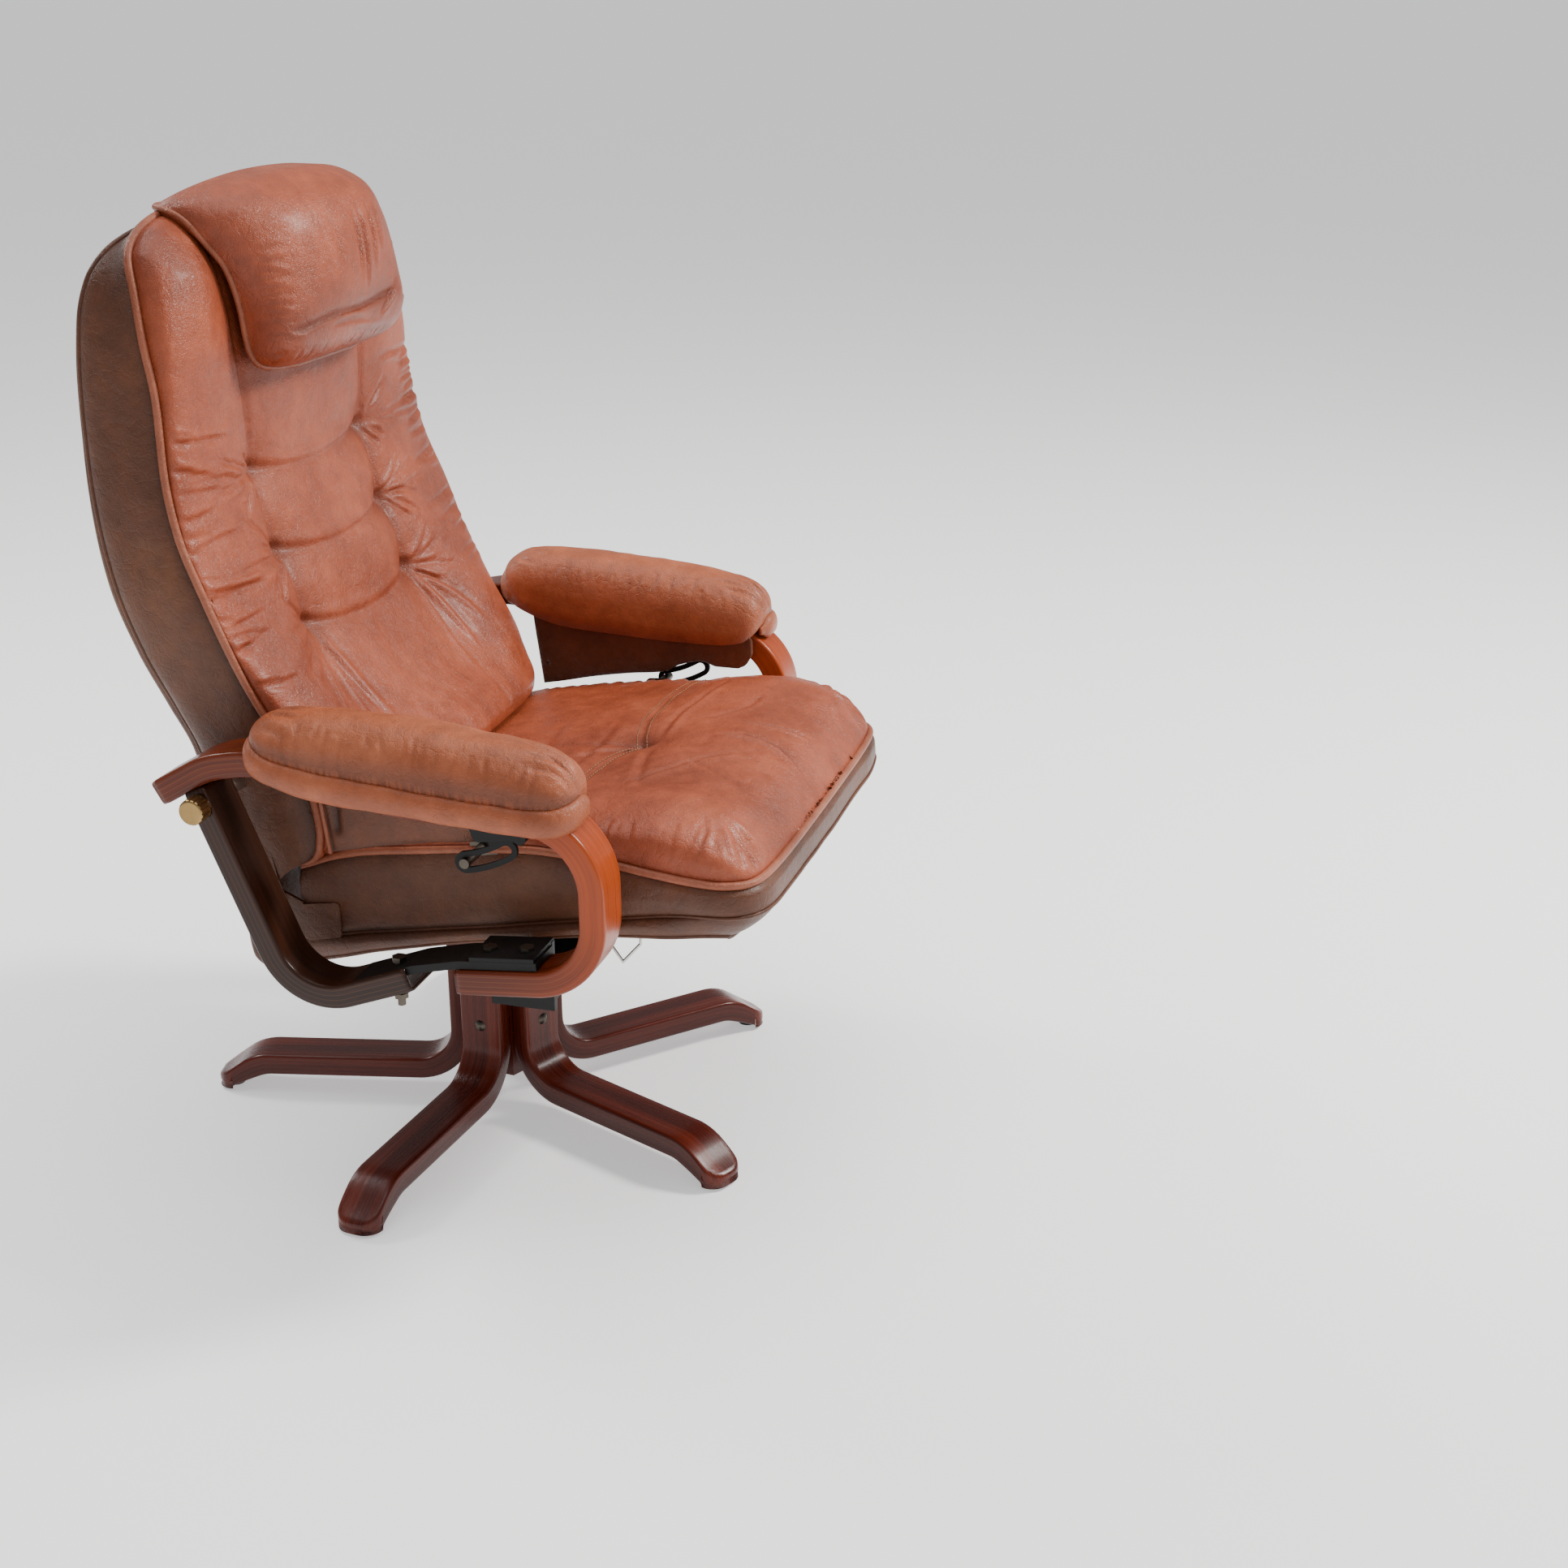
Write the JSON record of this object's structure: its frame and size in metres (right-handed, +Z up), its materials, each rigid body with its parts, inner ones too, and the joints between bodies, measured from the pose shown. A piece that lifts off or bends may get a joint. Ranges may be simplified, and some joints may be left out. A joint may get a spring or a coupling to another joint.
{
  "type": "recliner armchair",
  "caption": "Swivel recliner armchair with a bentwood star base, bentwood arms with leather pads, a tufted leather seat and back and a head pillow.",
  "frame": {"origin": "middle of the chair's box on the floor; the swivel axis stands 26 mm behind it", "axes": "+Z up, the chair faces -Y, +X is the sitter's left"},
  "size_m": [0.724, 0.7159, 1.028],
  "materials": {
    "mahogany_dark": "satin",
    "bentwood_red": "satin",
    "plywood_inner": "matte",
    "leather_top": "satin",
    "leather_border": "satin",
    "brass_knob": "satin",
    "plastic_black": "matte",
    "webbing": "matte",
    "steel_bright": "satin",
    "steel_black": "satin"
  },
  "bodies": {
    "chair_frame": {"arm_boards": "plywood_inner", "arm_flap_left": "leather_border", "arm_flap_right": "leather_border", "arm_pad_left": "leather_top", "arm_pad_right": "leather_top", "arm_strip_left": "bentwood_red", "arm_strip_right": "bentwood_red", "beam_bracket_left": "steel_black", "beam_bracket_right": "steel_black", "cross_beam": "steel_black", "frame_bolts": "steel_bright", "frame_rails": "steel_black", "guide_block_left": "plastic_black", "guide_block_right": "plastic_black", "guide_rail_left": "steel_black", "guide_rail_right": "steel_black", "pad_screws": "steel_bright", "pivot_bolts": "steel_bright", "pivot_washers": "steel_bright", "rear_strip_left": "bentwood_red", "rear_strip_right": "bentwood_red", "retaining_ring": "steel_bright", "side_bar_left": "steel_black", "side_bar_right": "steel_black", "swivel_plate": "steel_black", "swivel_spindle": "steel_bright"},
    "backrest": {"back_bracket_left": "steel_black", "back_bracket_right": "steel_black", "back_cushion": "leather_top", "back_posts": "plywood_inner", "back_rails": "plywood_inner", "back_shell": "leather_border", "back_webbing": "webbing", "bracket_screws": "steel_bright", "head_pillow": "leather_top"},
    "base": {"foot_glides": "plastic_black", "hub_core": "mahogany_dark", "leg_1": "mahogany_dark", "leg_2": "mahogany_dark", "leg_3": "mahogany_dark", "leg_4": "mahogany_dark", "leg_5": "mahogany_dark", "leg_bolts": "steel_bright", "swivel_bushes": "plastic_black", "swivel_socket": "steel_black", "thrust_washer": "plastic_black"},
    "seat": {"guide_pin_left": "steel_bright", "guide_pin_right": "steel_bright", "hinge_pins": "steel_bright", "seat_border": "leather_border", "seat_cushion": "leather_top", "seat_end_rails": "plywood_inner", "seat_lug_left": "steel_black", "seat_lug_right": "steel_black", "seat_side_rails": "plywood_inner", "seat_webbing": "webbing", "wire_loop": "steel_bright"},
    "knob_left": {"lock_knob_left": "brass_knob"},
    "knob_right": {"lock_knob_right": "brass_knob"}
  },
  "joints": [
    {"name": "swivel", "type": "hinge", "parent": "base", "child": "chair_frame", "pos_m": [0, 0.026, 0.25], "axis": [0, 0, 1], "continuous": true},
    {"name": "recline", "type": "hinge", "parent": "chair_frame", "child": "backrest", "pos_m": [0, 0.184, 0.46], "axis": [-1, 0, 0], "range_deg": [0, 21]},
    {"name": "seat_glide", "type": "hinge", "parent": "backrest", "child": "seat", "pos_m": [0, 0.16, 0.337], "axis": [-1, 0, 0], "range_deg": [-21, 0]},
    {"name": "knob_left_turn", "type": "hinge", "parent": "chair_frame", "child": "knob_left", "pos_m": [0.345, 0.184, 0.46], "axis": [1, 0, 0], "range_deg": [0, 270]},
    {"name": "knob_right_turn", "type": "hinge", "parent": "chair_frame", "child": "knob_right", "pos_m": [-0.345, 0.184, 0.46], "axis": [-1, 0, 0], "range_deg": [0, 270]}
  ],
  "couplings": [
    {"joint": "seat_glide", "follows": "recline", "ratio": -1}
  ]
}
